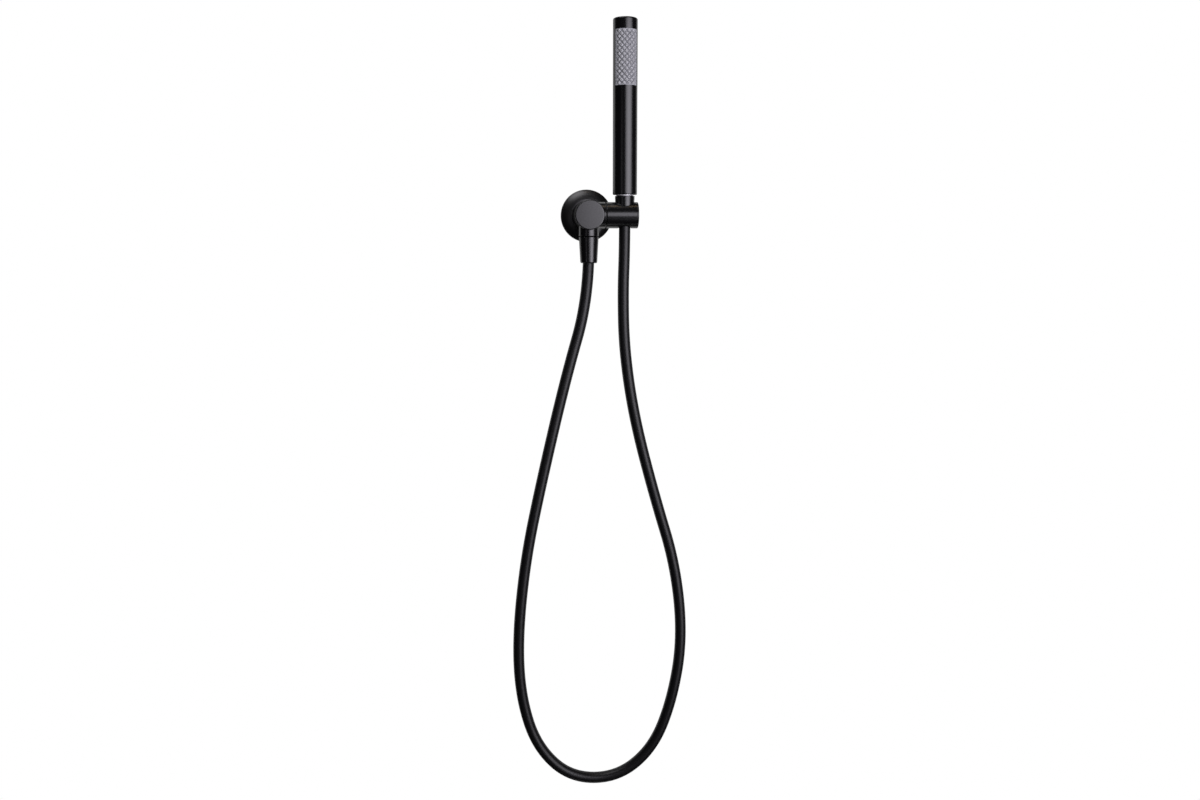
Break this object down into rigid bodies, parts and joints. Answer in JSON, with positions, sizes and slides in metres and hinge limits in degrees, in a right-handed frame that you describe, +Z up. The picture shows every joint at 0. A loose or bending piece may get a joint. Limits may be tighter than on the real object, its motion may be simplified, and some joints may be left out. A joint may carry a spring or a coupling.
{
  "type": "hand shower",
  "caption": "Stick hand shower in a swivelling tapered holder on a round wall outlet, with a smooth hose hanging in a loop from the outlet to the handset.",
  "frame": {"origin": "where the axis of the inlet crosses the wall plane", "axes": "+Y into the wall along the inlet, +Z up, +X from the outlet towards the holder"},
  "size_m": [0.2234, 0.067, 0.9622],
  "materials": {
    "satin_black_metal": "satin black coating",
    "black_hose": "smooth satin PVC",
    "grey_silicone": "matt silicone",
    "bright_metal": "polished plating",
    "steel": "plain steel",
    "brass": "turned brass",
    "black_rubber": "matt rubber",
    "white_plastic": "moulded acetal",
    "black_plastic": "moulded nylon"
  },
  "bodies": {
    "wall_outlet": {"wall_flange": "satin_black_metal", "flange_seal": "black_rubber", "outlet_body": "satin_black_metal", "check_valve_cage": "white_plastic", "check_valve_seal": "black_rubber", "check_valve_spring": "steel", "pivot_screw": "steel", "outlet_nut": "satin_black_metal", "outlet_washer": "black_rubber", "outlet_hose_tail": "brass", "outlet_ferrule": "steel", "hose": "black_hose"},
    "holder": {"holder": "satin_black_metal", "holder_end_cap": "satin_black_metal", "friction_washer": "black_plastic", "spring_washer": "steel", "handset_hose_tail": "brass", "swivel_seal": "black_rubber", "handset_ferrule": "steel"},
    "handset": {"handset_nut": "satin_black_metal", "handset_washer": "black_rubber", "swivel_bush": "white_plastic", "handset_tube": "satin_black_metal", "spray_face": "grey_silicone", "spray_carrier": "white_plastic", "water_tube": "white_plastic", "water_tube_seals": "black_rubber", "handset_connector": "bright_metal", "connector_seal": "black_rubber", "flow_regulator": "white_plastic"},
    "check_valve_poppet": {"check_valve_poppet": "white_plastic"}
  },
  "joints": [
    {"name": "holder_tilt", "type": "hinge", "parent": "wall_outlet", "child": "holder", "pos_m": [0, -0.032, 0], "axis": [1, 0, 0], "range_deg": [-4, 40], "deforming": ["hose"]},
    {"name": "handset_turn", "type": "hinge", "parent": "holder", "child": "handset", "pos_m": [0.04393, -0.032, 0], "axis": [0, 0, 1], "continuous": true},
    {"name": "check_valve_lift", "type": "slide", "parent": "wall_outlet", "child": "check_valve_poppet", "axis": [0, 0, -1], "range_m": [0, 0.0025], "stiffness_N_per_m": 200, "springref_m": -0.004, "deforming": ["check_valve_spring"]}
  ]
}
